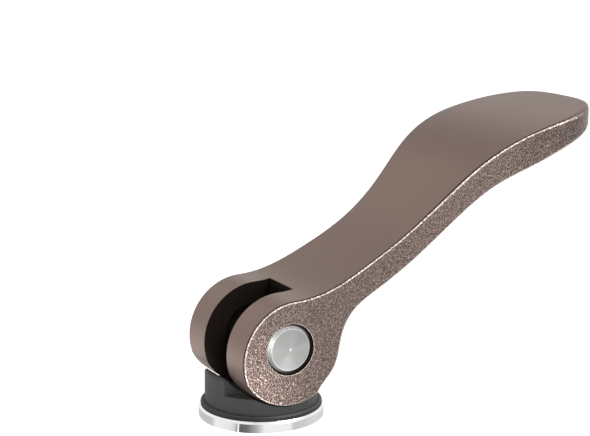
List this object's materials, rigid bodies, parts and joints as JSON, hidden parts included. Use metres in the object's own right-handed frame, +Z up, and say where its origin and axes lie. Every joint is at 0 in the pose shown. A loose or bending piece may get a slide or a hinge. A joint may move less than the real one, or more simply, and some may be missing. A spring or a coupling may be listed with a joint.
{
  "type": "cam lever",
  "caption": "Cam lever with a forked eccentric head turning on a tapped cross pin, pressing a saddle thrust piece and a washer down as the handle swings over.",
  "frame": {"origin": "centre of the washer's underside, on the stud axis", "axes": "+Z up the stud axis, cross pin along Y, handle reaching towards +X"},
  "size_m": [0.0845, 0.0332, 0.0584],
  "materials": {
    "lever_coating": "satin bronze coating, grained on the sides",
    "pin_steel": "turned",
    "thrust_plastic": "matte moulded",
    "washer_steel": "polished"
  },
  "bodies": {
    "pin": {"cross_pin": "pin_steel"},
    "handle": {"lever": "lever_coating"},
    "foot": {"thrust_piece": "thrust_plastic", "washer": "washer_steel"}
  },
  "joints": [
    {"name": "lever_swing", "type": "hinge", "parent": "pin", "child": "handle", "pos_m": [0, 0, 0.01633], "axis": [0, -1, 0], "range_deg": [-30, 120]},
    {"name": "foot_lift", "type": "slide", "parent": "pin", "child": "foot", "axis": [0, 0, 1], "range_m": [-0.0002, 0.00075]}
  ],
  "couplings": [
    {"joint": "foot_lift", "follows": "lever_swing", "m_per_rad": 0.00035}
  ]
}
